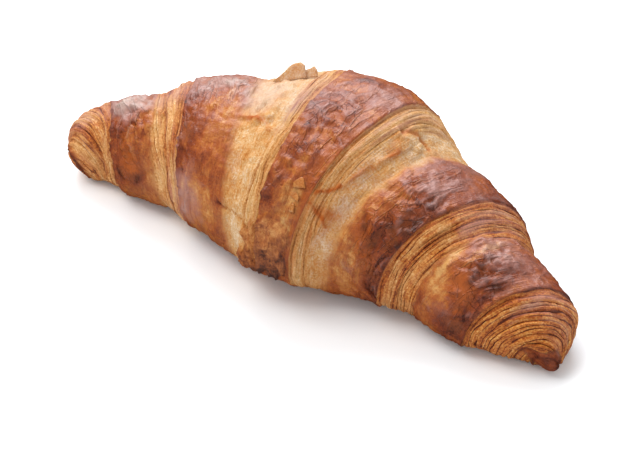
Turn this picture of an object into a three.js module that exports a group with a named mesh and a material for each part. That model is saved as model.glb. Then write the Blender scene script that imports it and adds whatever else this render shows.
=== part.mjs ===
// A butter croissant, baked as one piece of dough.
// Millimetres, +Z up, +X towards the right tip, +Y towards the back of the bend.
// The origin is the middle of the footprint, on the surface that the croissant rests on.
import * as THREE from 'three';
import { mergeVertices } from 'three/addons/utils/BufferGeometryUtils.js';

// Sections along the roll from the left tip to the right tip.
const sections = [
  { x: -78.5, y: -21.5, halfWidth: 8.5, height: 17 },
  { x: -69.5, y: -13.5, halfWidth: 11.5, height: 23.5 },
  { x: -56, y: -9, halfWidth: 16.5, height: 30 },
  { x: -42, y: -5, halfWidth: 21.5, height: 35.5 },
  { x: -28, y: -2.5, halfWidth: 26.5, height: 40 },
  { x: -14.5, y: -1, halfWidth: 32, height: 43.5 },
  { x: -1, y: -0.5, halfWidth: 34, height: 44.5 },
  { x: 13, y: 0, halfWidth: 33, height: 42.5 },
  { x: 26.5, y: -0.5, halfWidth: 27.5, height: 37.5 },
  { x: 40, y: -2.5, halfWidth: 22.5, height: 31.5 },
  { x: 54, y: -6, halfWidth: 19, height: 25.5 },
  { x: 67.5, y: -10, halfWidth: 14, height: 19.5 },
  { x: 81.5, y: -16, halfWidth: 7.5, height: 13.5 },
];

const ringsAlong = 84;
const pointsAround = 56;
const widestShare = 0.42;      // height of the widest line, as a share of the section's height
const undersideFlatness = 0.62;
const sideFullness = 0.92;
const topFullness = 0.95;
const tipRounding = 0.58;      // length of a tip's rounding, in section spacings
const restingDepth = 0.8;      // how far the soft dough settles onto the tray

// The triangle of dough is rolled from its wide end, so its edge climbs out to each tip in a helix.
// Each list gives the edge's place as a share of the roll's length, every half turn from the front.
const firstEdgeAngle = 10;
const rightEdge = [0.54, 0.593, 0.697, 0.776, 0.86, 0.93, 0.975, 1.01, 1.04];
const leftEdge = [0.512, 0.468, 0.325, 0.221, 0.152, 0.08, 0.03, -0.01, -0.04];
const rightLayers = [0.25, 0.42, 0.45, 0.33, 0.4];   // share of each wrap that shows its cut layers
const leftLayers = [0.3, 0.52, 0.52, 0.44, 0.4];
const stepShare = 0.05;        // half a wrap's step, as a share of the half width
const edgeStart = 40;          // angles between which the first edge rises out of the roll
const edgeFull = 90;

// Smooth value between the entries of a list, with the ends held.
function smoothAlong(list, place) {
  const last = list.length - 1;
  const held = THREE.MathUtils.clamp(place, 0, last);
  const index = Math.min(Math.floor(held), last - 1);
  const entry = (k) => {
    if (k < 0) return 2 * list[0] - list[1];
    if (k > last) return 2 * list[last] - list[last - 1];
    return list[k];
  };
  const [a, b, c, d] = [-1, 0, 1, 2].map((step) => entry(index + step));
  const t = held - index;
  const bend = 2 * a - 5 * b + 4 * c - d;
  const twist = 3 * b - 3 * c + d - a;
  return 0.5 * (2 * b + (c - a) * t + bend * t * t + twist * t ** 3);
}

// Height of one side's wraps at a point: 0 on a wrap's skin, down to -2 at the foot of its cut edge.
function wrapStep(share, angle, edges, layers) {
  for (let turn = 0; turn < 4; turn++) {
    const halfTurns = (angle - firstEdgeAngle) / 180 + 2 * turn;
    const edge = smoothAlong(edges, halfTurns);
    const nextEdge = smoothAlong(edges, halfTurns + 2);
    const across = (share - edge) / (nextEdge - edge);
    if (across >= 0 && across < 1) {
      const cutEdge = smoothAlong(layers, halfTurns);
      const rise = Math.sin(((across - cutEdge) / (1 - cutEdge)) * Math.PI / 2);
      const drop = THREE.MathUtils.smoothstep(across / cutEdge, 0, 1);
      const height = across < cutEdge ? -2 * drop : 2 * rise ** 0.8 - 2;
      return height * THREE.MathUtils.smoothstep(angle + 360 * turn, edgeStart, edgeFull);
    }
  }
  return 0;
}

const column = (name) => sections.map((section) => section[name]);
const [spineX, spineY, halfWidths, heights] = ['x', 'y', 'halfWidth', 'height'].map(column);

// Point of the crust, by its share of the length and its angle around the roll:
// 0 is the underside, 90 the front, 180 the top and 270 the back.
function crustPoint(share, angle) {
  const place = share * (sections.length - 1);
  const step = 0.01;
  const ahead = Math.min(place + step, sections.length - 1);
  const behind = Math.max(place - step, 0);
  const alongX = smoothAlong(spineX, ahead) - smoothAlong(spineX, behind);
  const alongY = smoothAlong(spineY, ahead) - smoothAlong(spineY, behind);
  const length = Math.hypot(alongX, alongY);

  const fromTip = Math.min(place, sections.length - 1 - place) / tipRounding;
  const rounding = Math.sqrt(Math.max(0, 1 - Math.max(0, 1 - fromTip) ** 2));
  const halfWidth = smoothAlong(halfWidths, place);
  const height = smoothAlong(heights, place);
  const wraps = wrapStep(share, angle, rightEdge, rightLayers) + wrapStep(share, angle, leftEdge, leftLayers);
  const relief = stepShare * halfWidth * (1 + wraps) * rounding;

  const radians = THREE.MathUtils.degToRad(angle);
  const side = Math.sign(Math.sin(radians)) * Math.abs(Math.sin(radians)) ** sideFullness;
  const upright = -Math.cos(radians);
  const widest = widestShare * height;
  const across = -(halfWidth * rounding + relief) * side;
  const above = widest + ((height - widest) * rounding + relief) * Math.abs(upright) ** topFullness;
  const below = widest - widest * rounding * Math.abs(upright) ** undersideFlatness;
  const settled = Math.max(0, (upright > 0 ? above : below) - restingDepth);
  const x = smoothAlong(spineX, place) - (alongY / length) * across;
  const y = smoothAlong(spineY, place) + (alongX / length) * across;
  return new THREE.Vector3(x, y, settled);
}

// A sphere whose poles are the two tips, drawn out to the croissant's shape.
function croissantGeometry() {
  const sphere = new THREE.SphereGeometry(1, pointsAround, ringsAlong);
  sphere.deleteAttribute('normal');
  sphere.deleteAttribute('uv');
  const shape = mergeVertices(sphere, 1e-5);
  const points = shape.attributes.position;
  const point = new THREE.Vector3();
  for (let i = 0; i < points.count; i++) {
    point.fromBufferAttribute(points, i);
    const share = (1 + point.y) / 2;
    const angle = (THREE.MathUtils.radToDeg(Math.atan2(point.z, point.x)) + 360) % 360;
    const crust = crustPoint(share, angle);
    points.setXYZ(i, crust.x, crust.y, crust.z);
  }
  shape.computeBoundingBox();
  const middle = shape.boundingBox.getCenter(new THREE.Vector3());
  shape.translate(-middle.x, -middle.y, -shape.boundingBox.min.z);
  shape.computeVertexNormals();
  return shape;
}

const bakedCrust = new THREE.MeshStandardMaterial({ color: 0xb5713d, roughness: 0.45, metalness: 0 });

const croissant = new THREE.Mesh(croissantGeometry(), bakedCrust);
croissant.name = 'croissant';

const model = new THREE.Group();
model.add(croissant);

export default model;
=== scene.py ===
import math
import bpy
import numpy as np
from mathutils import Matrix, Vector, noise


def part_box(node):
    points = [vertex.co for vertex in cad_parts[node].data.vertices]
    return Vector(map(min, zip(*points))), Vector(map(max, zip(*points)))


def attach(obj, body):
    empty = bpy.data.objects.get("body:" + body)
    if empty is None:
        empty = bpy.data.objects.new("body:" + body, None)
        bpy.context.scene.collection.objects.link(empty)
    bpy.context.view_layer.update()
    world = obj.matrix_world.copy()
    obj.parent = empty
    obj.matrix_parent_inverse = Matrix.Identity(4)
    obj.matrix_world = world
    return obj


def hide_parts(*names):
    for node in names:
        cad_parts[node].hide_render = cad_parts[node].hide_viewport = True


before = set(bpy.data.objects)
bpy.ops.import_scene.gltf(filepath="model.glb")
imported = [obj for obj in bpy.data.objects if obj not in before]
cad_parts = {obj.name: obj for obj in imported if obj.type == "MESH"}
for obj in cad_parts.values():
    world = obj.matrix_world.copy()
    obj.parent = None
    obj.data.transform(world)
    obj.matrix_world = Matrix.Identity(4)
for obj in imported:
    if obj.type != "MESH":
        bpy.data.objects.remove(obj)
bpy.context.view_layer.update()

mm = 0.001


# The roll. Sections run from the left tip to the right tip: x, y, half width and height in mm.
roll = {
    "sections": [
        (-78.5, -21.5, 8.5, 17.0), (-69.5, -13.5, 11.5, 23.5), (-56.0, -9.0, 16.5, 30.0),
        (-42.0, -5.0, 21.5, 35.5), (-28.0, -2.5, 26.5, 40.0), (-14.5, -1.0, 32.0, 43.5),
        (-1.0, -0.5, 34.0, 44.5), (13.0, 0.0, 33.0, 42.5), (26.5, -0.5, 27.5, 37.5),
        (40.0, -2.5, 22.5, 31.5), (54.0, -6.0, 19.0, 25.5), (67.5, -10.0, 14.0, 19.5),
        (81.5, -16.0, 7.5, 13.5)],
    "length": 166.0,          # along the roll
    "widestShare": 0.42,
    "undersideFlatness": 0.62,
    "sideFullness": 0.92,
    "topFullness": 0.95,
    "tipRounding": 0.58,      # in section spacings
    "restingDepth": 0.8,
    "stepShare": 0.05,        # half a wrap's step, as a share of the half width
    "segments": 236,          # around the roll
    "rings": 416,             # along the roll
    "crowding": 14.0,         # degrees by which the segments gather towards the top
    "edgeRings": (62.0, 298.0),   # angles between which the rings follow the wraps' edges
    "layerCrowding": 1.1,     # how much closer the rings are over the cut layers
}

# The rolled dough's edge climbs out to each tip in a helix. Its place is a share of the length, every
# half turn from the front of the underside. cut is the share of each wrap that shows its cut layers,
# lines is how wide the sharp layers are, in mm, before the torn and stretched dough begins, toast is
# how dark they are baked, and spacing is from one cut layer to the next, in mm.
wraps = {
    "right": {
        "edge": [0.54, 0.593, 0.697, 0.776, 0.86, 0.93, 0.975, 1.01, 1.04],
        "cut": [0.25, 0.42, 0.45, 0.33, 0.93, 0.95, 0.95],
        "lines": [5.0, 6.0, 8.0, 20.0, 20.0, 20.0, 20.0],
        "toast": [0.18, -0.12, 0.42, 0.58, 0.9, 1.35, 1.4],
        "spacing": [1.0, 0.95, 1.0, 1.05, 1.1, 1.15, 1.2],
    },
    "left": {
        "edge": [0.512, 0.468, 0.325, 0.221, 0.152, 0.08, 0.03, -0.01, -0.04],
        "cut": [0.3, 0.52, 0.52, 0.44, 0.93, 0.95, 0.95],
        "lines": [4.0, 4.5, 8.0, 20.0, 20.0, 20.0, 20.0],
        "toast": [0.0, 0.1, 0.28, 0.33, 0.28, 0.42, 0.45],
        "spacing": [1.1, 1.1, 1.2, 1.4, 1.8, 2.6, 2.8],
    },
    "firstAngle": 10.0,
    "rise": (40, 90),   # angles between which the first edge rises out of the roll
    # past the last wrap, at a tip, the cut layers run on to the end
    "tip": {"on": 1, "width": 99, "lines": 20, "gap": 99, "turn": 3},
}

# Places pushed or pulled out of the plain roll: share of the length, angle, reach in mm, and the move.
pulls = [
    (0.005, 200, 10, (-2.6, 0.6, 1.2)), (0.03, 85, 8, (0.2, 1.2, 0.8)), (0.06, 205, 8, (0, 0, -0.6)),
    (0.18, 205, 8, (0, 0, -0.5)),
    (0.57, 208, 12, (0.3, 0, 1.9)), (0.64, 250, 14, (-0.6, -1.6, 0)), (0.86, 250, 10, (-0.6, -1.5, 0)),
    (0.012, 115, 7, (-1.5, -0.9, 0)), (0.67, 215, 8, (-0.3, -0.6, -0.6)), (0.96, 240, 4, (0.9, 0.8, 0)),
    (0.978, 78, 4.5, (-0.6, 2.2, 2.8)), (0.93, 74, 6, (0, 0.6, 0.8)), (0.98, 220, 8, (1.1, 0.4, 0.4)),
    (0.999, 60, 3.0, (1.2, -0.6, -1.2)), (0.93, 200, 4, (0.4, 0, 0.6)),
    (0.66, 75, 11, (0, 0.7, 0.2)), (0.8, 75, 8, (0, -0.6, 0)), (0.50, 75, 14, (0, -0.4, 0)),
    (0.36, 78, 14, (0, -0.6, -0.2)), (0.025, 160, 5, (-0.6, 0, 0)),
]

# Spots on the crust: share of the length, angle round the roll, half length and half width in mm, amount.
spots = {
    "bake": [
        (0.02, 72, 6, 3, 0.35), (0.05, 172, 8, 7, 0.16), (0.09, 150, 1.4, 26, 0.18),
        (0.125, 125, 2, 8, 0.1), (0.40, 132, 7, 14, 0.12),
        (0.14, 94, 1.6, 1.8, 0.5), (0.165, 92, 1.4, 1.4, 0.5), (0.235, 118, 0.8, 12, 0.35),
        (0.27, 98, 1.2, 6, 0.3), (0.245, 100, 1, 4, 0.25),
        (0.245, 166, 2.5, 6, 0.2), (0.27, 186, 8, 8, 0.12), (0.30, 125, 5, 12, 0.06),
        (0.335, 130, 3.5, 25, -0.04),
        (0.505, 148, 2, 4, 0.1), (0.50, 128, 1.5, 4, 0.1), (0.545, 100, 4, 12, -0.07),
        # (0.585, 165) paints a slope that faces away from the light paler: painted light
        (0.535, 118, 3.5, 12, -0.16), (0.52, 203, 3, 2, 0.45), (0.585, 165, 5, 16, -0.16),
        (0.545, 128, 1.5, 2.5, -0.4), (0.54, 108, 2, 2.5, -0.3), (0.60, 98, 7, 10, 0.1),
        (0.655, 108, 5, 14, -0.3), (0.67, 128, 1.5, 2.5, 0.3), (0.705, 118, 2, 9, 0.2),
        (0.735, 112, 2.2, 12, 0.12), (0.72, 178, 8, 8, 0.08), (0.485, 96, 3, 8, -0.12),
        (0.745, 145, 1.5, 10, 0.2), (0.712, 84, 2.5, 2.5, 0.4), (0.69, 170, 6, 10, -0.08),
        (0.825, 105, 3, 12, -0.2), (0.85, 130, 2.5, 8, 0.1), (0.865, 118, 2, 6, 0.1),
        (0.895, 155, 1.6, 5, 0.3), (0.905, 172, 1.2, 4, 0.2), (0.84, 88, 4, 3, 0.25),
        (0.915, 125, 2.5, 18, -0.4), (0.955, 140, 2.5, 14, 0.15), (0.51, 172, 8, 10, 0.12),
        # (0.34, 95) paints a low patch paler where light falls on it: painted light
        (0.37, 178, 7, 8, -0.02), (0.34, 95, 6, 8, -0.12), (0.45, 85, 5, 6, -0.1), (0.29, 98, 4, 8, -0.2),
        (0.53, 100, 5, 10, -0.15), (0.815, 140, 1.2, 9, -0.45), (0.84, 176, 1.0, 6, -0.5),
        (0.79, 185, 3, 8, 0.15), (0.645, 175, 4, 8, 0.1),
        (0.622, 186, 1.2, 7, 0.35), (0.64, 165, 1, 5, 0.25), (0.605, 150, 1.2, 4, 0.2)],
    "amber": [   # thin egg wash, where the dough glows orange
        (0.15, 105, 2.2, 6, 0.9), (0.135, 125, 1.2, 5, 0.5), (0.675, 118, 2.2, 5, 0.8),
        (0.70, 108, 2, 7, 0.6), (0.73, 128, 2, 4, 0.5), (0.85, 135, 2, 5, 0.8), (0.87, 122, 1.6, 5, 0.7),
        (0.56, 152, 1, 4, 0.5),
        (0.635, 178, 1.5, 3, 0.7), (0.60, 125, 3, 2, 0.6), (0.395, 125, 3, 6, 0.5),
        (0.39, 160, 5, 1.0, 0.9), (0.61, 112, 8, 16, 0.46), (0.62, 155, 6, 14, 0.27),
        (0.56, 130, 2.5, 14, 0.3),
        (0.575, 165, 3, 12, 0.25), (0.72, 120, 6, 12, 0.15), (0.865, 128, 5, 10, 0.2)],
    "glaze": [   # painted sheen: places where the glossy crust catches the softbox, painted paler and cooler
        (0.12, 176, 6, 7, 1.5), (0.27, 192, 10, 8, 1.05), (0.38, 178, 9, 10, 0.9), (0.19, 182, 5, 8, 0.4),
        (0.455, 168, 3, 12, 0.7), (0.29, 98, 7, 10, 1.1), (0.54, 190, 10, 8, 0.35),
        (0.71, 180, 8, 12, 0.4),
        (0.67, 95, 3, 6, 0.3), (0.86, 175, 6, 8, 0.5), (0.24, 128, 3, 8, 0.4), (0.84, 98, 4, 7, 0.5),
        (0.03, 150, 2, 12, 0.4), (0.80, 182, 1.2, 7, 0.6), (0.945, 170, 1.2, 6, 0.8)],
    "worms": [(0.525, 172, 9, 16, 0.8), (0.29, 182, 9, 9, 0.8), (0.865, 135, 6, 12, 0.8),
              (0.71, 150, 7, 10, 0.6), (0.15, 150, 4, 8, 0.3)],
    "folds": [(0.25, 140, 3, 22, 0.8), (0.14, 140, 5, 16, 0.9), (0.72, 110, 8, 12, 1.0),
              (0.73, 165, 8, 8, 0.5), (0.85, 165, 7, 9, 0.5), (0.12, 175, 4, 4, 0.5)],
    "blisters": [(0.52, 122, 5, 13, 1.0), (0.50, 140, 4, 8, 0.9), (0.30, 120, 6, 10, 0.5),
                 (0.88, 168, 5, 6, 0.5)],
    "tail": [(0.513, 90, 6.0, 8, 1.0), (0.498, 84, 5.0, 5, 0.7), (0.528, 101, 4.0, 5, 0.6)],
    "ledge": [(0.405, 172, 5.5, 11, 0.9), (0.635, 190, 5.0, 9, 0.7), (0.12, 176, 5.0, 6, 0.7)],
    "end": [(0.996, 75, 4.0, 5, 1.0)],
}

# Seams where the crust tore or folded: points as share and angle, then width and rise in mm (a groove is
# negative), and how much darker and more orange the seam is.
seams = [
    ([(0.355, 160), (0.375, 161), (0.39, 160), (0.42, 157), (0.45, 153)], 0.5, 0.7, 0.05, 0.5),
    ([(0.38, 102), (0.395, 98), (0.425, 101), (0.455, 102), (0.48, 99)], 0.4, -0.6, 0.5, 0.3),
    ([(0.575, 128), (0.60, 122), (0.61, 116)], 0.4, 0.5, -0.1, 0.6),
    ([(0.58, 134), (0.595, 138), (0.605, 142)], 0.5, 0.5, 0.0, 1.0),
    ([(0.61, 146), (0.63, 163), (0.64, 178)], 0.6, 0.5, 0.1, 0.4),
    ([(0.62, 188), (0.64, 196), (0.65, 199), (0.66, 198)], 0.5, -0.6, 0.5, 0.6),
    ([(0.275, 113), (0.295, 103), (0.305, 90)], 0.6, -0.6, 0.25, 0.0),
    ([(0.265, 129), (0.285, 120)], 0.7, -0.5, 0.18, 0.0),
    ([(0.295, 162), (0.30, 172), (0.315, 186)], 0.8, 0.7, -0.1, 0.0),
    ([(0.325, 157), (0.335, 171), (0.337, 187)], 0.7, 0.6, -0.1, 0.0),
    ([(0.135, 131), (0.15, 115), (0.16, 100)], 0.7, -0.5, 0.25, 0.8),
    ([(0.165, 125), (0.17, 109), (0.175, 93)], 0.7, -0.5, 0.25, 0.6),
    ([(0.075, 199), (0.105, 170), (0.13, 169), (0.135, 177)], 0.8, 0.7, -0.1, 0.0),
    ([(0.175, 166), (0.195, 157), (0.205, 162), (0.195, 181)], 0.5, 0.6, -0.1, 0.5),
    ([(0.665, 135), (0.685, 124), (0.705, 119)], 0.9, -0.7, 0.3, 0.2),
    ([(0.71, 138), (0.745, 128), (0.76, 121)], 0.9, -0.7, 0.25, 0.2),
    ([(0.855, 185), (0.86, 161), (0.885, 154)], 0.8, -0.6, 0.3, 0.3),
    ([(0.945, 152), (0.955, 175), (0.97, 200)], 0.6, -0.7, 0.4, 0.0),
    ([(0.945, 127), (0.96, 159), (0.98, 187)], 0.5, -0.6, 0.35, 0.0),
    ([(0.975, 113), (0.985, 160), (0.987, 199)], 0.5, -0.6, 0.35, 0.0),
]


def smoothStep(low, high, value):
    t = np.clip((value - low) / (high - low), 0, 1)
    return t * t * (3 - 2 * t)


def smoothAlong(values, place):   # a smooth value between the entries of a list, with its ends held
    values = np.asarray(values, float)
    last = len(values) - 1
    held = np.clip(place, 0, last)
    index = np.minimum(np.floor(held).astype(int), last - 1)
    t = held - index
    padded = np.concatenate([[2 * values[0] - values[1]], values, [2 * values[-1] - values[-2]]])
    a, b, c, d = (padded[index + k] for k in range(4))
    bend = 2 * a - 5 * b + 4 * c - d
    twist = 3 * b - 3 * c + d - a
    return 0.5 * (2 * b + (c - a) * t + bend * t ** 2 + twist * t ** 3)


def soft(points, size, octaves=3, seed=0):   # noise of about -1 to 1 with features of that size, in mm
    start = Vector((seed * 17.3, seed * 5.1, seed * 9.7))
    scaled = points / np.asarray(size, float)
    return np.array([noise.fractal(Vector(p) + start, 1.0, 2.0, octaves) for p in scaled])


def wrapPlace(share, angle, side):   # where each point lies on that side's wraps
    names = ("on", "into", "width", "skinPart", "turn", "lines", "toast", "spacing", "gap")
    found = {name: np.zeros(share.shape) for name in names}
    found["turn"] -= 1
    for turn in range(4):
        halfTurns = (angle - wraps["firstAngle"]) / 180 + 2 * turn
        edge = smoothAlong(side["edge"], halfTurns)
        nextEdge = smoothAlong(side["edge"], halfTurns + 2)
        across = (share - edge) / (nextEdge - edge)
        cut = smoothAlong(side["cut"], halfTurns)
        here = (across >= -1e-6) & (across < 1 - 1e-6)
        gap = np.abs(nextEdge - edge) * roll["length"]
        values = {"on": smoothStep(*wraps["rise"], angle + 360 * turn),
                  "into": across * gap, "width": cut * gap,
                  "skinPart": np.clip((across - cut) / (1 - cut), 0, 1), "turn": turn + 0 * gap,
                  "lines": smoothAlong(side["lines"], halfTurns),
                  "toast": smoothAlong(side["toast"], halfTurns),
                  "spacing": smoothAlong(side["spacing"], halfTurns), "gap": gap}
        for name, value in values.items():
            found[name] = np.where(here, value, found[name])
    return found


def wrapStep(place):   # 0 on a wrap's skin, down to -2 at the foot of its cut edge
    drop = -2 * smoothStep(0, 1, place["into"] / np.maximum(place["width"], 1e-6))
    rise = 2 * np.sin(place["skinPart"] * math.pi / 2) ** 0.8 - 2
    step = np.where(place["into"] < place["width"], drop, rise)
    return np.where(place["turn"] >= 0, step * place["on"], 0)


def crust(share, angle):   # the roll with its wraps, before any fine relief, in mm
    columns = np.array(roll["sections"]).T
    last = len(roll["sections"]) - 1
    place = share * last
    x, y, halfWidth, height = (smoothAlong(column, place) for column in columns)
    ahead, behind = np.minimum(place + 0.01, last), np.maximum(place - 0.01, 0)
    alongX = smoothAlong(columns[0], ahead) - smoothAlong(columns[0], behind)
    alongY = smoothAlong(columns[1], ahead) - smoothAlong(columns[1], behind)
    stride = np.hypot(alongX, alongY)
    fromTip = np.minimum(place, last - place) / roll["tipRounding"]
    rounding = np.sqrt(np.clip(1 - np.clip(1 - fromTip, 0, 1) ** 2, 0, 1))
    steps = sum(wrapStep(wrapPlace(share, angle, wraps[side])) for side in ("right", "left"))
    relief = roll["stepShare"] * halfWidth * (1 + steps) * rounding
    sine, cosine = np.sin(np.radians(angle)), -np.cos(np.radians(angle))
    across = -(halfWidth * rounding + relief) * np.sign(sine) * np.abs(sine) ** roll["sideFullness"]
    widest = roll["widestShare"] * height
    above = widest + ((height - widest) * rounding + relief) * np.abs(cosine) ** roll["topFullness"]
    below = widest - widest * rounding * np.abs(cosine) ** roll["undersideFlatness"]
    z = np.where(cosine > 0, above, below) - roll["restingDepth"]
    return np.stack([x - alongY / stride * across, y + alongX / stride * across, z], axis=-1)


def pulled(points):
    for share, angle, reach, move in pulls:
        centre = crust(np.array([share]), np.array([float(angle)]))[0]
        away = np.linalg.norm(points - centre, axis=-1, keepdims=True) / reach
        points = points + np.exp(-away ** 2) * np.array(move)
    return points


# Where the rings cross each meridian: along the wraps' edges, and closer over the cut layers.
def ringShares():
    turned = np.arange(roll["segments"]) * 360 / roll["segments"]
    angles = turned + roll["crowding"] * np.sin(np.radians(turned))
    fine = (1 - np.cos(np.linspace(0, math.pi, 1601))) / 2
    top = np.full(fine.shape, 180.0)
    middle = (fine[1:] + fine[:-1]) / 2
    stride = np.linalg.norm(np.diff(crust(fine, top), axis=0), axis=-1) + 1e-5
    for side in ("right", "left"):
        place = wrapPlace(middle, top[1:], wraps[side])
        overLayers = (place["turn"] >= 0) & (place["into"] < place["width"] + 1.5)
        stride *= 1 + roll["layerCrowding"] * overLayers
    run = np.concatenate([[0], np.cumsum(stride)])
    onTop = np.interp(np.arange(1, roll["rings"]) / roll["rings"], run / run[-1], fine)

    def edgesAt(angle):   # where the wraps' edges cross that meridian, with the two tips
        halfTurns = (angle - wraps["firstAngle"]) / 180 + 2 * np.arange(3)
        left, right = (smoothAlong(wraps[side]["edge"], halfTurns) for side in ("left", "right"))
        return np.concatenate([[0], left[::-1], right, [1]])

    for edge in edgesAt(180)[1:-1]:
        onTop[np.abs(onTop - edge).argmin()] = edge
    front, rear = roll["edgeRings"]
    shares = np.empty((len(onTop), len(angles)))
    for k, angle in enumerate(angles):
        if front <= angle <= rear:
            shares[:, k] = np.interp(onTop, edgesAt(180), edgesAt(angle))
        else:   # under the roll the rings run back to where they began
            back = ((angle - rear) % 360) / (front + 360 - rear)
            back = back * back * (3 - 2 * back)
            start, end = (np.interp(onTop, edgesAt(180), edgesAt(meridian)) for meridian in (rear, front))
            shares[:, k] = start * (1 - back) + end * back
    return angles, shares


def surfaceNormals(points):   # outward normals of a closed grid of points: rings by columns
    alongRoll = np.gradient(points, axis=0)
    around = np.roll(points, -1, axis=1) - np.roll(points, 1, axis=1)
    normals = np.cross(around, alongRoll)
    normals /= np.linalg.norm(normals, axis=-1, keepdims=True) + 1e-9
    outward = points - points.mean(axis=1, keepdims=True)
    return np.where((normals * outward).sum(-1, keepdims=True) < 0, -normals, normals)


# How strongly each kind of spot is felt at each point. Spots have uneven outlines.
def spreadSpots(shares, angle, girth, wander, blotch):
    patch = {}
    for kind, places in spots.items():
        patch[kind] = np.zeros(shares.shape)
        for spotShare, spotAngle, halfLength, halfWidth, amount in places:
            across = (shares - spotShare) * roll["length"] / halfLength + 0.5 * wander
            over = (angle - spotAngle) / 360 * girth / halfWidth + 0.5 * blotch
            patch[kind] += amount * np.exp(-across ** 2 - over ** 2)
    return patch


# What the seams add at each point. Seams wander a little from their straight runs.
def spreadSeams(shares, angle, girth, wander, blotch):
    along = shares * roll["length"] + 0.8 * wander
    over = angle / 360 * girth + 0.8 * blotch
    seamed = {"relief": 0.0, "bake": 0.0, "amber": 0.0}
    for line, width, rise, baked, orange in seams:
        nearest = np.full(shares.shape, 1e3)
        for (startShare, startAngle), (endShare, endAngle) in zip(line, line[1:]):
            startAlong, startOver = startShare * roll["length"], startAngle / 360 * girth
            runAlong = (endShare - startShare) * roll["length"]
            runOver = (endAngle - startAngle) / 360 * girth
            t = (along - startAlong) * runAlong + (over - startOver) * runOver
            t = np.clip(t / (runAlong ** 2 + runOver ** 2), 0, 1)
            away = np.hypot(along - startAlong - t * runAlong, over - startOver - t * runOver)
            nearest = np.minimum(nearest, away)
        near = np.exp(-(nearest / width) ** 2)
        for name, amount in (("relief", rise), ("bake", baked), ("amber", orange)):
            seamed[name] = seamed[name] + amount * near
    return seamed


# The crust's fine relief. Sizes run along and across the wraps, in mm, and noise comes with its octaves and
# seed. A skin's wrinkles have a height everywhere and a further height at their spots, in mm.
surface = {
    "foldNoise": ((17, 4.4, 1), 2, 7), "foldSharpness": 2.6, "folds": (0.35, 0.9),
    "wormNoise": ((8.5, 8.5, 8.5), 2, 8), "wormSharpness": 3.6, "worms": (0.15, 1.2),
    "blisterNoise": (2.4, 1, 9), "blisters": (0.15, 1.8),
    "swirlSize": (6, 6, 6), "swirlReach": 2.0,   # the wrinkles bend by this much
    "layerRise": 0.15, "layerWaves": 0.5,
    "creaseWidth": 0.22, "creaseDepth": 0.6,     # between cut layers, the width as a share of a layer
    "tornLumps": 0.35, "tornStrands": 0.35,      # of the stretched dough
    "unevenness": 0.35, "swelling": 0.4, "sink": 0.2,   # all over: small, broad, and the same everywhere
    "curlWidth": 1.2, "curlHeight": 0.35,        # of a skin's free edge
    "ledgeHeight": 1.0,
    "tailHeight": 0.9, "tailLumps": 1.5,
}

# How baked the crust is: 0 is pale and 1 is nearly black.
baking = {
    "skin": 0.36, "towardsEdge": 0.2, "blotches": 0.16, "rightHalfBakeAndShade": 0.16,
    "rimWidth": 1.6, "leftRim": 0.14, "otherRim": 0.04,
    "wormCrests": 0.14, "layerBlotches": 0.2, "end": 0.2, "blisters": -0.35,
    "tailFoot": 0.6, "tailEdge": 1.6,
}

# The egg wash's look: a painted sheen on the top and on crests, and painted shade that makes the wrinkles'
# hollows deeper orange. firstLayer is how orange the cut layer under a skin's edge is, with its width in
# mm.
wash = {
    "top": 0.5, "crests": 0.5, "hollowsPaintedShade": 0.4,
    "firstLayerAmber": 0.28, "firstLayerWidth": 1.6,
}


# Where each point lies on the wraps of both sides, and how far it is from a skin's free edge, in mm.
def placeOnWraps(shares, angle):
    right = wrapPlace(shares, angle, wraps["right"])
    left = wrapPlace(shares, angle, wraps["left"])
    place = {name: np.where(left["turn"] >= 0, left[name], right[name]) for name in right}
    beyond = (place["turn"] < 0) & (np.abs(shares - 0.5) > 0.3)   # past the last wrap, at the tips
    nearTip = np.where(shares < 0.5, 0, 1)
    for name, value in wraps["tip"].items():
        place[name] = np.where(beyond, value, place[name])
    for name in ("toast", "spacing"):
        ends = np.array([wraps[side][name][-1] for side in ("left", "right")])
        place[name] = np.where(beyond, ends[nearTip], place[name])
    place["into"] = np.where(beyond, np.abs(shares - nearTip) * roll["length"], place["into"])
    place["middle"] = place["turn"] < 0
    halfTurns = (angle - wraps["firstAngle"]) / 180
    rightGap = (smoothAlong(wraps["right"]["edge"], halfTurns) - shares) * roll["length"]
    leftGap = (shares - smoothAlong(wraps["left"]["edge"], halfTurns)) * roll["length"]
    place["toEdge"] = np.where(place["middle"], np.minimum(rightGap, leftGap), place["gap"] - place["into"])
    return place


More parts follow.
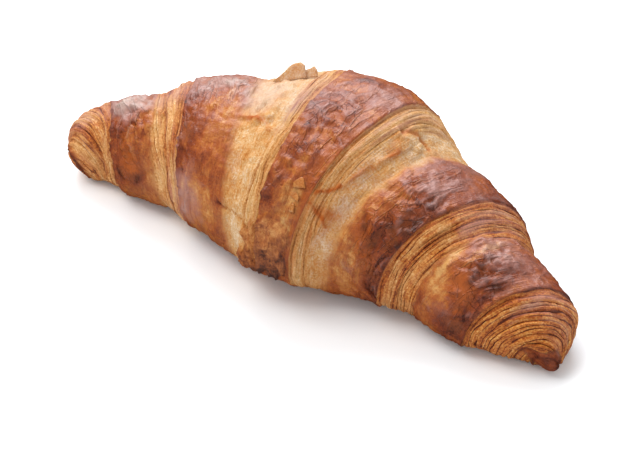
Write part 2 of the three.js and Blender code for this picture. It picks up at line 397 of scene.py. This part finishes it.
# What is at each point of the crust: cut layers, torn dough, wrinkles, blisters, flaps and seams, with the
# relief they make in mm.
def crustMarks(grid, shares, angle):
    place = placeOnWraps(shares, angle)

    # coordinates in mm that follow the wraps: u runs with them and v across them
    girth = np.linalg.norm(np.roll(grid, -1, axis=1) - grid, axis=-1).sum(axis=1, keepdims=True)
    slope = -0.0006 + 0.00105 * smoothStep(0.38, 0.62, shares)   # of the edges, in share per degree
    fromTop = angle - 180
    wrapUv = np.stack([fromTop / 360 * girth, (shares - slope * fromTop) * roll["length"]], -1)
    flat = grid.reshape(-1, 3)
    drawn = np.concatenate([wrapUv.reshape(-1, 2), flat[:, 2:] * 0], 1)

    def even(size, octaves, seed):   # noise that runs the same in every direction
        return soft(flat, (size, size, size), octaves, seed).reshape(shares.shape)

    def drawnOut(length, width, octaves, seed):   # noise that runs along the wraps
        return soft(drawn, (length, width, 1), octaves, seed).reshape(shares.shape)

    wander = even(5, 3, 1)
    blotch = even(9, 3, 2)
    patch = spreadSpots(shares, angle, girth, wander, blotch)
    seamed = spreadSeams(shares, angle, girth, wander, blotch)

    into = place["into"] + 0.5 * drawnOut(22, 9, 2, 4) * (place["into"] > 1)
    footSoftness = 0.8 + 1.8 * (place["lines"] < 10)
    foot = smoothStep(-footSoftness, footSoftness, into - place["width"] + 1.4 * wander)
    cutMask = np.where(place["middle"], 0, 1 - foot) * place["on"]
    cutMask *= 1 - smoothStep(0.4, 0.55, patch["end"])   # the roll's dark end
    torn = smoothStep(-0.7, 0.7, into - place["lines"] - 1.5 * drawnOut(14, 5, 2, 18)) * cutMask

    # cut layers: thin leaves on top of one another, parted by creases of different depths
    layer = into / np.maximum(place["spacing"], 0.5)
    layer += 0.9 * drawnOut(30, 3.5, 3, 5) + 0.25 * drawnOut(8, 2, 2, 15)
    layer = np.where(place["skinPart"] < 0.6, np.maximum(layer, 0.05), 0)
    crease = np.exp(-(np.abs(layer - np.rint(layer)) / surface["creaseWidth"]) ** 2)
    crease *= np.clip(0.5 + 1.4 * drawnOut(18, 1.1, 2, 6), 0.05, 1.5)
    leaves = surface["layerRise"] - surface["creaseDepth"] * crease
    leaves += surface["layerWaves"] * drawnOut(30, 2.0, 2, 14)
    relief = cutMask * (1 - torn) * leaves

    # egg-washed skin: folds along the wraps, worm-like wrinkles and small blisters
    skin = 1 - cutMask
    swirl = [soft(flat, surface["swirlSize"], 2, seed) for seed in (11, 12, 13)]
    swirl = surface["swirlReach"] * np.stack(swirl, -1)
    fold = soft(drawn + swirl, *surface["foldNoise"]).reshape(shares.shape)
    worm = soft(flat + 1.5 * swirl, *surface["wormNoise"]).reshape(shares.shape)
    foldRidge = np.clip(1 - surface["foldSharpness"] * np.abs(fold), 0, 1)
    wormRidge = np.clip(1 - surface["wormSharpness"] * np.abs(worm), 0, 1)
    blister = np.clip(even(*surface["blisterNoise"]), 0, 1)
    for kind, ridge in (("folds", foldRidge), ("worms", wormRidge), ("blisters", blister)):
        everywhere, atSpots = surface[kind]
        relief += skin * (everywhere + atSpots * patch[kind]) * ridge

    strands = surface["tornStrands"] * drawnOut(12, 2.5, 2, 17)
    relief += torn * (surface["tornLumps"] * even(2.4, 3, 10) + strands)
    relief += surface["unevenness"] * wander + surface["swelling"] * blotch - surface["sink"]
    relief += seamed["relief"]
    relief += surface["curlHeight"] * np.exp(-(place["toEdge"] / surface["curlWidth"]) ** 2) * skin
    ledge = smoothStep(0.45, 0.6, patch["ledge"] + 0.1 * even(3, 3, 22))   # torn flaps lie on top
    relief += surface["ledgeHeight"] * ledge
    tail = smoothStep(0.3, 0.42, patch["tail"] + 0.12 * even(1.6, 3, 20))
    relief += tail * (surface["tailHeight"] + surface["tailLumps"] * even(4.5, 3, 21))
    return {"place": place, "patch": patch, "seamed": seamed, "wrapUv": wrapUv, "relief": relief,
            "blotch": blotch, "into": into, "cutLayers": cutMask, "torn": torn, "layer": layer,
            "skin": skin, "foldRidge": foldRidge, "wormRidge": wormRidge, "blister": blister, "tail": tail}


# How baked the crust is at each point, where a sheen is painted on it, and how amber it glows.
def bakeCrust(marks, shares, angle):
    place, patch, seamed = marks["place"], marks["patch"], marks["seamed"]
    blotch, skin, cutMask, tail = marks["blotch"], marks["skin"], marks["cutLayers"], marks["tail"]
    skinPart = np.where(place["middle"], 0.7, place["skinPart"])
    bake = baking["skin"] + baking["towardsEdge"] * skinPart + baking["blotches"] * blotch
    rim = 1 - smoothStep(0, baking["rimWidth"], place["toEdge"])
    bake += np.where(place["middle"] | (shares > 0.5), baking["otherRim"], baking["leftRim"]) * rim
    # the right half is darker: partly its baking, partly painted shade, as the light comes from the left
    bake += baking["rightHalfBakeAndShade"] * smoothStep(0.5, 0.9, shares)
    bake += baking["wormCrests"] * (marks["wormRidge"] - 0.5) * np.clip(patch["worms"], 0, 1)
    bake = bake * skin + (place["toast"] + baking["layerBlotches"] * blotch) * cutMask
    bake += patch["bake"] + seamed["bake"]
    bake += baking["end"] * patch["end"] + baking["blisters"] * marks["blister"] * patch["blisters"]
    bake += baking["tailFoot"] * tail * (1 - smoothStep(78, 94, angle))
    bake += baking["tailEdge"] * tail * (1 - tail)
    # painted sheen: the top is painted paler and cooler, where the softbox's light reflects
    onTop = smoothStep(150, 185, angle) * (1 - smoothStep(215, 260, angle))
    glaze = wash["top"] * onTop + patch["glaze"]
    wrinkled = np.clip(0.35 + 0.4 * blotch + patch["worms"] + 0.8 * patch["folds"], 0, 1.2) * skin
    ridge = np.where(patch["worms"] > patch["folds"], marks["wormRidge"], marks["foldRidge"])
    # painted highlight along the wrinkles' crests
    glaze += wash["crests"] * wrinkled * (ridge - 0.3)
    # the wrinkles' hollows are painted a deeper orange: painted shade, opposite the painted sheen on the
    # crests
    amber = patch["amber"] + seamed["amber"] + wash["hollowsPaintedShade"] * wrinkled * (0.5 - ridge)
    amber += wash["firstLayerAmber"] * cutMask * np.exp(-(marks["into"] / wash["firstLayerWidth"]) ** 2)
    return {"bake": bake, "glaze": glaze, "amber": amber, "wrinkled": wrinkled}


def buildCroissant():
    bpy.ops.object.select_all(action="DESELECT")
    bpy.ops.mesh.primitive_uv_sphere_add(segments=roll["segments"], ring_count=roll["rings"], radius=1)
    croissant = bpy.context.object
    croissant.name = "bakedCroissant"
    mesh = croissant.data
    sphere = np.empty(len(mesh.vertices) * 3)
    mesh.vertices.foreach_get("co", sphere)
    sphere = sphere.reshape(-1, 3)
    ring = np.rint(np.arccos(np.clip(-sphere[:, 2], -1, 1)) / math.pi * roll["rings"]).astype(int)
    turned = np.degrees(np.arctan2(sphere[:, 1], sphere[:, 0])) % 360
    column = np.rint(turned / 360 * roll["segments"]).astype(int)
    column %= roll["segments"]
    inner = (ring > 0) & (ring < roll["rings"])

    angles, shares = ringShares()
    angle = np.broadcast_to(angles, shares.shape)
    grid = pulled(crust(shares, angle))
    normals = surfaceNormals(grid)
    print("croissant grid", grid.shape)

    marks = crustMarks(grid, shares, angle)
    points = grid + normals * marks["relief"][..., None]
    points[..., 2] = np.maximum(points[..., 2], 0)

    def forVertices(values):   # from rings and columns to the mesh's own order, with a mean at each tip
        full = np.empty((len(sphere),) + values.shape[2:])
        full[inner] = values[ring[inner] - 1, column[inner]]
        full[ring == 0] = values[0].mean(axis=0)
        full[ring == roll["rings"]] = values[-1].mean(axis=0)
        return full

    # centred over the CAD croissant
    placed = forVertices(points) * mm
    low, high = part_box("croissant")
    centre = (np.array(low) + np.array(high))[:2] / 2
    shift = centre - (placed[:, :2].max(axis=0) + placed[:, :2].min(axis=0)) / 2
    placed[:, :2] += shift
    mesh.vertices.foreach_set("co", placed.ravel())

    kept = bakeCrust(marks, shares, angle)
    kept["under"] = 1 - smoothStep(0, 2.5, points[..., 2])
    for name in ("cutLayers", "torn", "layer", "tail"):
        kept[name] = marks[name]
    for name, values in kept.items():   # for the material to read
        mesh.attributes.new(name, "FLOAT", "POINT").data.foreach_set("value", forVertices(values))

    uvLayer = mesh.uv_layers[0]
    uvLayer.name = "wrapUv"
    loops = np.empty(len(mesh.loops), int)
    mesh.loops.foreach_get("vertex_index", loops)
    uvLayer.data.foreach_set("uv", forVertices(marks["wrapUv"])[loops].ravel())
    mesh.update()

    bpy.ops.object.mode_set(mode="EDIT")
    bpy.ops.mesh.select_all(action="SELECT")
    bpy.ops.mesh.normals_make_consistent(inside=False)
    bpy.ops.object.mode_set(mode="OBJECT")
    bpy.ops.object.shade_smooth()
    print("croissant shaped", len(mesh.polygons), "faces")
    return croissant, shift


# Loose flakes of pastry, with their thickness in mm. Each has a share of the length, an angle, a width and
# height in mm, how far it stands up, its turn in degrees, its curl, how far it rises in a wedge towards the
# right, and how baked it is.
flakes = {
    "thickness": 0.5, "raggedness": 0.2, "amber": 0.46,
    "each": [
        # the two standing flakes have a negative bake that paints them paler: painted light on faces the
        # lamps barely reach
        (0.388, 198, 10.5, 5.9, 0.78, -4, 1.2, 1.0, -0.3), (0.421, 198, 4.4, 3.6, 0.75, 6, 0.9, 0.3, -0.25),
        (0.547, 132, 3.2, 3.2, 0.12, 20, 0.4, 0.4, 0.4), (0.545, 126, 3.0, 1.8, 0.15, -15, 0.3, 0.0, 0.4),
        (0.549, 119, 1.2, 2.4, 0.1, 5, 0.2, 0.0, 0.4),
    ],
}


def buildFlakes(shift):
    made = []
    for share, angle, width, height, stand, turn, curl, wedge, baked in flakes["each"]:
        bpy.ops.object.select_all(action="DESELECT")
        bpy.ops.mesh.primitive_grid_add(x_subdivisions=7, y_subdivisions=6, size=1)
        flake = bpy.context.object
        around = np.array([share, share + 0.01, share]), np.array([angle, angle, angle + 4.0])
        base, ahead, over = pulled(crust(*around))
        ahead, over = (Vector(point - base).normalized() for point in (ahead, over))
        out = ahead.cross(over)
        if out.z < 0:
            out.negate()
        spin = math.radians(turn)
        side = ahead * math.cos(spin) + over * math.sin(spin)
        rise = (over * math.cos(spin) - ahead * math.sin(spin)) * (1 - stand) + out * stand
        for vertex in flake.data.vertices:
            x, y = vertex.co.x * 2, vertex.co.y + 0.5
            ragged = 1 + flakes["raggedness"] * noise.noise(Vector((1.6 * x, 1.6 * y, share * 90)))
            rising = min(1, 0.15 + 0.68 * (1 + x))
            y *= (1 - wedge + wedge * rising) * (1 - 0.3 * abs(x) ** 4)
            x *= (1 - 0.15 * y ** 2) * ragged
            bow = curl * (x ** 2 - 0.5 * y ** 2)
            spot = Vector(base) + side * x * width / 2 + rise * (y * height * ragged - 0.7 * stand)
            spot += (out * (1 - stand) - over * stand) * (bow + 0.5 * (1 - stand))
            vertex.co = spot * mm + Vector((shift[0], shift[1], 0))
        thickness = flake.modifiers.new("thickness", "SOLIDIFY")
        thickness.thickness = flakes["thickness"] * mm
        thickness.offset = 0
        bpy.ops.object.modifier_apply(modifier=thickness.name)
        bpy.ops.object.shade_smooth()
        for name, value in (("torn", 1.0), ("bake", baked), ("amber", flakes["amber"])):
            kept = flake.data.attributes.new(name, "FLOAT", "POINT")
            kept.data.foreach_set("value", np.full(len(flake.data.vertices), value))
        made.append(flake)
    bpy.ops.object.select_all(action="DESELECT")
    for flake in made:
        flake.select_set(True)
    bpy.context.view_layer.objects.active = made[0]
    bpy.ops.object.join()
    made[0].name = "looseFlakes"
    print("flakes added", len(made))
    return made[0]


def colour(code):   # sRGB hex to linear
    parts = [int(code[k:k + 2], 16) / 255 for k in (1, 3, 5)]
    return tuple(c / 12.92 if c <= 0.04045 else ((c + 0.055) / 1.055) ** 2.4 for c in parts) + (1.0,)


# Adds a node with its settings, values and links.
def addNode(tree, kind, settings=None, inputs=None, give=0):
    node = tree.nodes.new(kind)
    for name, value in (settings or {}).items():
        if name == "stops":
            while len(node.color_ramp.elements) < len(value):
                node.color_ramp.elements.new(0.5)
            for element, (position, code) in zip(node.color_ramp.elements, value):
                element.position, element.color = position, colour(code)
        else:
            setattr(node, name, value)
    for name, value in (inputs or {}).items():
        if isinstance(value, bpy.types.NodeSocket):
            tree.links.new(value, node.inputs[name])
        else:
            node.inputs[name].default_value = value
    return node.outputs[give]


# Baked, egg-washed laminated dough. Skins are glossy red-brown with a painted mauve sheen on their tops and
# crests, cut layers golden with painted shade in their creases, stretched dough pale and matt, the
# rolled-in tail rough and dark.
crustLook = {
    "attributes": ("cutLayers", "torn", "bake", "layer", "tail", "amber", "glaze", "under", "wrinkled"),
    # coordinates, feature sizes in mm (along and across the wraps for wrapUv), detail, roughness and
    # distortion
    "patterns": {
        "blotches": ("Object", (7.0, 7.0, 7.0), 3.0, 0.5, 0.0),
        "mottle": ("Object", (2.0, 2.0, 2.0), 4.0, 0.6, 0.3),
        "specks": ("Object", (0.55, 0.55, 0.55), 2.0, 0.6, 0.0),
        "longStreaks": ("wrapUv", (16.0, 1.0, 1.0), 3.0, 0.6, 0.0),
        "fineStreaks": ("wrapUv", (4.0, 0.35, 1.0), 3.0, 0.6, 0.0),
        "swirls": ("wrapUv", (12.0, 4.6, 1.0), 2.0, 0.5, 0.9),
        "tangle": ("Object", (6.5, 6.5, 6.5), 3.0, 0.55, 0.6),
        "deepness": ("wrapUv", (11.0, 1.4, 1.0), 2.0, 0.6, 0.3),
    },
    "lines": {"crests": ("swirls", 0.07), "cracks": ("tangle", 0.018)},
    "products": {
        "creaseHere": ("crease", "sharp"), "creasePaintedShade": ("crease", "bake"),
        "finer": ("fineStreaks", "cutLayers"),
        "crestsHere": ("crests", "wrinkled"), "cracksHere": ("cracks", "wrinkled"),
    },
    # each tone starts at a value or a signal, and adds signals by the given amounts
    "tones": {
        # on skins, crests are painted lighter (painted highlight) and cracks darker (painted shade)
        "skinTone": ("bake", {"mottle": 0.6, "longStreaks": 0.25, "swirls": 0.5, "blotches": 0.2,
                              "fineStreaks": 0.3, "specks": 0.4, "crestsHere": -0.12, "cracksHere": 0.2}),
        "mauveShare": (0.0, {"blotches": 1.6}),
        # painted sheen and painted highlight on the skins' tops and crests
        "paintedSheenShare": (-0.28, {"glaze": 0.75, "mottle": 0.6, "blotches": 0.7, "crestsHere": 0.25}),
        "paintedHighlightShare": (-0.62, {"glaze": 0.6, "mottle": 0.4}),
        # the creases between cut layers are painted darker, more where the layers are more baked: painted
        # shade
        "layerTone": (0.43, {"chance": 0.26, "longStreaks": 0.6, "fineStreaks": 1.0, "mottle": 0.6,
                             "specks": 1.2, "crease": -0.25, "creasePaintedShade": -0.8}),
        "toast": (0.0, {"bake": 2.0, "chance": -0.4, "blotches": 1.6, "longStreaks": 1.0}),
        # painted sheen on the tops of the cut layers
        "layerPaintedSheen": (-0.12, {"glaze": 0.6, "longStreaks": 1.5, "mottle": 0.5}),
        "tornTone": (0.6, {"blotches": 1.0, "mottle": 0.35, "fineStreaks": 0.4, "longStreaks": 0.6,
                           "specks": 1.2, "bake": -0.7}),
        # painted sheen on the top of the stretched dough
        "tornPaintedSheen": (-0.25, {"glaze": 0.6, "mottle": 0.6}),
        # cracks paint darker lines in the tail's crevices: painted shade
        "tailTone": (0.66, {"mottle": 1.3, "specks": 0.6, "blotches": 1.0, "cracks": -0.2, "bake": -0.5}),
        "amberShare": (-0.08, {"amber": 0.9, "mottle": 1.0, "longStreaks": 0.6, "crestsHere": -0.2}),
        "underShare": (0.0, {"under": 0.5}),
        "coat": (0.34, {"cutLayers": -0.3, "tail": -0.26}),
        "rough": (0.46, {"cutLayers": 0.3, "tail": 0.3, "mottle": 0.4}),
        "height": (0.0, {"creaseHere": -0.9, "longStreaks": 0.8, "fineStreaks": 0.4, "finer": 0.7,
                         "mottle": 1.2, "specks": 0.55, "crestsHere": 0.9, "cracksHere": -0.4}),
    },
    "ramps": {
        "skin": ("skinTone", [(0.0, "#D49C58"), (0.22, "#BC702C"), (0.42, "#A6531B"), (0.62, "#8B3B12"),
                              (0.82, "#66270E"), (1.0, "#3F1710")]),
        "golden": ("layerTone", [(0.0, "#9A5620"), (0.3, "#C07E3C"), (0.55, "#D09A5A"), (0.8, "#DDAE76"),
                                 (1.0, "#EED2A6")]),
        "toasted": ("layerTone", [(0.0, "#5C2409"), (0.3, "#944412"), (0.55, "#B96622"), (0.8, "#D08A3E"),
                                  (1.0, "#E8B66E")]),
        "torn": ("tornTone", [(0.0, "#A85C1A"), (0.3, "#C4813A"), (0.6, "#D0A066"), (1.0, "#E6CFB0")]),
        "tail": ("tailTone", [(0.0, "#4E2A1C"), (0.3, "#86451F"), (0.6, "#AC6530"), (1.0, "#CF9456")]),
    },
    # the sheen and highlight colours are painted reflections of the softbox
    "colours": {"mauve": "#8A4E2C", "amber": "#AE540C", "glaze": "#B0837A", "underside": "#8A4E20",
                "paintedHighlight": "#CDB8A8"},
    # each coat goes over the one before, by its share
    "coats": [("skin", "mauve", "mauveShare"), ("skin", "glaze", "paintedSheenShare"),
              ("skin", "paintedHighlight", "paintedHighlightShare"), ("golden", "toasted", "toast"),
              ("golden", "glaze", "layerPaintedSheen"), ("skin", "golden", "cutLayers"),
              ("torn", "paintedHighlight", "tornPaintedSheen"), ("skin", "torn", "torn"),
              ("skin", "amber", "amberShare"), ("skin", "tail", "tail"),
              ("skin", "underside", "underShare")],
    "creaseStart": 0.36,       # distance from a cut layer's middle, where 0.5 is its edge
    "creaseDepths": (3.0, 0.5),   # how much creases differ in depth, and their usual depth
    "specular": 0.45, "coatRoughness": 0.38,
    "bump": (0.8, 0.45),       # strength, and distance in mm
}


def crustMaterial():
    material = bpy.data.materials.new("eggWashedLaminatedCrust")
    material.use_nodes = True
    tree = material.node_tree
    shader = tree.nodes["Principled BSDF"]
    signal = {name: addNode(tree, "ShaderNodeAttribute", {"attribute_name": name}, give="Fac")
              for name in crustLook["attributes"]}
    coordinates = {"Object": (addNode(tree, "ShaderNodeTexCoord", give="Object"), mm),
                   "wrapUv": (addNode(tree, "ShaderNodeUVMap", {"uv_map": "wrapUv"}), 1.0)}
    for name, (kind, size, detail, roughness, distortion) in crustLook["patterns"].items():
        where, unit = coordinates[kind]
        scaled = addNode(tree, "ShaderNodeMapping", None,
                         {"Vector": where, "Scale": tuple(1 / (part * unit) for part in size)})
        noisy = addNode(tree, "ShaderNodeTexNoise", None,
                        {"Vector": scaled, "Scale": 1.0, "Detail": detail, "Roughness": roughness,
                         "Distortion": distortion})
        signal[name] = addNode(tree, "ShaderNodeMath", {"operation": "SUBTRACT"}, {0: noisy, 1: 0.5})
    # thin lines where a pattern crosses its middle
    for name, (source, width) in crustLook["lines"].items():
        size = addNode(tree, "ShaderNodeMath", {"operation": "ABSOLUTE"}, {0: signal[source]})
        signal[name] = addNode(tree, "ShaderNodeMapRange", {"interpolation_type": "SMOOTHSTEP"},
                               {"Value": size, "From Min": 0.0, "From Max": width,
                                "To Min": 1.0, "To Max": 0.0})

    # cut layers: each has its own tone, and a crease of changing depth parts it from the next; the crease
    # is a groove in the bump and painted shade in the colour
    whole = addNode(tree, "ShaderNodeMath", {"operation": "ROUND"}, {0: signal["layer"]})
    signal["chance"] = addNode(tree, "ShaderNodeTexWhiteNoise", {"noise_dimensions": "1D"},
                               {"W": whole}, give="Value")
    part = addNode(tree, "ShaderNodeMath", {"operation": "FRACT"}, {0: signal["layer"]})
    fromMiddle = addNode(tree, "ShaderNodeMath", {"operation": "SUBTRACT"}, {0: part, 1: 0.5})
    fromMiddle = addNode(tree, "ShaderNodeMath", {"operation": "ABSOLUTE"}, {0: fromMiddle})
    crease = addNode(tree, "ShaderNodeMapRange", {"interpolation_type": "SMOOTHSTEP"},
                     {"Value": fromMiddle, "From Min": crustLook["creaseStart"], "From Max": 0.5})
    spread, usual = crustLook["creaseDepths"]
    deep = addNode(tree, "ShaderNodeMath", {"operation": "MULTIPLY_ADD", "use_clamp": True},
                   {0: signal["deepness"], 1: spread, 2: usual})
    signal["crease"] = addNode(tree, "ShaderNodeMath", {"operation": "MULTIPLY"}, {0: crease, 1: deep})
    signal["sharp"] = addNode(tree, "ShaderNodeMath", {"operation": "SUBTRACT", "use_clamp": True},
                              {0: signal["cutLayers"], 1: signal["torn"]})

    for name, (first, second) in crustLook["products"].items():
        signal[name] = addNode(tree, "ShaderNodeMath", {"operation": "MULTIPLY"},
                               {0: signal[first], 1: signal[second]})
    for name, (start, parts) in crustLook["tones"].items():
        value = signal.get(start, start)
        for source, amount in parts.items():
            value = addNode(tree, "ShaderNodeMath", {"operation": "MULTIPLY_ADD"},
                            {0: signal[source], 1: amount, 2: value})
        signal[name] = value

    shade = {name: colour(code) for name, code in crustLook["colours"].items()}
    for name, (tone, stops) in crustLook["ramps"].items():
        shade[name] = addNode(tree, "ShaderNodeValToRGB", {"stops": stops}, {"Fac": signal[tone]})
    for below, above, share in crustLook["coats"]:
        shade[below] = addNode(tree, "ShaderNodeMix", {"data_type": "RGBA"},
                               {0: signal[share], 6: shade[below], 7: shade[above]}, give=2)
    tree.links.new(shade["skin"], shader.inputs["Base Color"])
    tree.links.new(signal["rough"], shader.inputs["Roughness"])
    shader.inputs["Specular IOR Level"].default_value = crustLook["specular"]
    tree.links.new(signal["coat"], shader.inputs["Coat Weight"])
    shader.inputs["Coat Roughness"].default_value = crustLook["coatRoughness"]
    strength, distance = crustLook["bump"]
    bump = addNode(tree, "ShaderNodeBump", None,
                   {"Strength": strength, "Distance": distance * mm, "Height": signal["height"]})
    tree.links.new(bump, shader.inputs["Normal"])
    return material


# Metres and watts. Angles are degrees round from the front and up from the table.
studio = {
    "cameraAzimuth": 35.0, "cameraElevation": 38.5, "cameraDistance": 0.4807, "lens": 100.0,
    "cameraTarget": (0.01146, -0.0208, 0.0192),
    "world": 0.82, "worldColour": "#FBFBFC",
    "tableSize": 8.0, "tableLevel": -0.0002, "tableColour": "#F4F5F6", "tableRoughness": 0.95,
    "tableGlow": 0.03, "tableGlowColour": "#FFF8F2",
    "lampTarget": (0, 0, 0.02),
    "softbox": ((-0.55, 0.65, 0.85), (0.9, 0.7), 13.5, (0.9, 0.95, 1.0)),   # place, size, power, colour
    "ceiling": ((-0.5, -0.25, 1.0), (0.7, 0.7), 6.9, (1.0, 1.0, 1.0)),
}


def addArea(name, place, size, power, tint):
    light = bpy.data.lights.new(name, "AREA")
    light.shape = "RECTANGLE"
    light.size, light.size_y = size
    light.energy = power
    light.color = tint
    lamp = bpy.data.objects.new(name, light)
    bpy.context.collection.objects.link(lamp)
    lamp.location = place
    towards = Vector(studio["lampTarget"]) - Vector(place)
    lamp.rotation_euler = towards.to_track_quat("-Z", "Y").to_euler()
    return lamp


def addStudio():
    bpy.ops.object.select_all(action="DESELECT")
    bpy.ops.mesh.primitive_plane_add(size=studio["tableSize"], location=(0, 0, studio["tableLevel"]))
    table = bpy.context.object
    table.name = "paleTable"
    paint = bpy.data.materials.new("mattWhiteTable")
    paint.use_nodes = True
    painted = paint.node_tree.nodes["Principled BSDF"].inputs
    painted["Base Color"].default_value = colour(studio["tableColour"])
    painted["Roughness"].default_value = studio["tableRoughness"]
    painted["Emission Color"].default_value = colour(studio["tableGlowColour"])
    painted["Emission Strength"].default_value = studio["tableGlow"]
    table.data.materials.append(paint)
    table.visible_glossy = False   # the crust is too rough to mirror it

    scene = bpy.context.scene
    scene.view_settings.view_transform = "Standard"
    world = bpy.data.worlds.new("softWhiteRoom")
    world.use_nodes = True
    background = world.node_tree.nodes["Background"].inputs
    background["Color"].default_value = colour(studio["worldColour"])
    background["Strength"].default_value = studio["world"]
    world.cycles_visibility.glossy = False   # the room fills the shadows but is not seen in the glaze
    scene.world = world
    addArea("backSoftbox", *studio["softbox"])
    ceiling = addArea("ceilingBounce", *studio["ceiling"])
    ceiling.visible_glossy = False   # only the softbox shows in the glaze

    around, above = math.radians(studio["cameraAzimuth"]), math.radians(studio["cameraElevation"])
    target = Vector(studio["cameraTarget"])
    level = math.cos(above)
    back = Vector((math.sin(around) * level, -math.cos(around) * level, math.sin(above)))
    lens = bpy.data.cameras.new("tableCamera")
    lens.lens = studio["lens"]
    camera = bpy.data.objects.new("tableCamera", lens)
    bpy.context.collection.objects.link(camera)
    camera.location = target + back * studio["cameraDistance"]
    camera.rotation_euler = (-back).to_track_quat("-Z", "Y").to_euler()
    scene.camera = camera
    print("studio ready")


croissant, shift = buildCroissant()
looseFlakes = buildFlakes(shift)
crustSurface = crustMaterial()
for piece in (croissant, looseFlakes):
    piece.data.materials.append(crustSurface)
    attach(piece, "root")
    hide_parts("croissant")
addStudio()
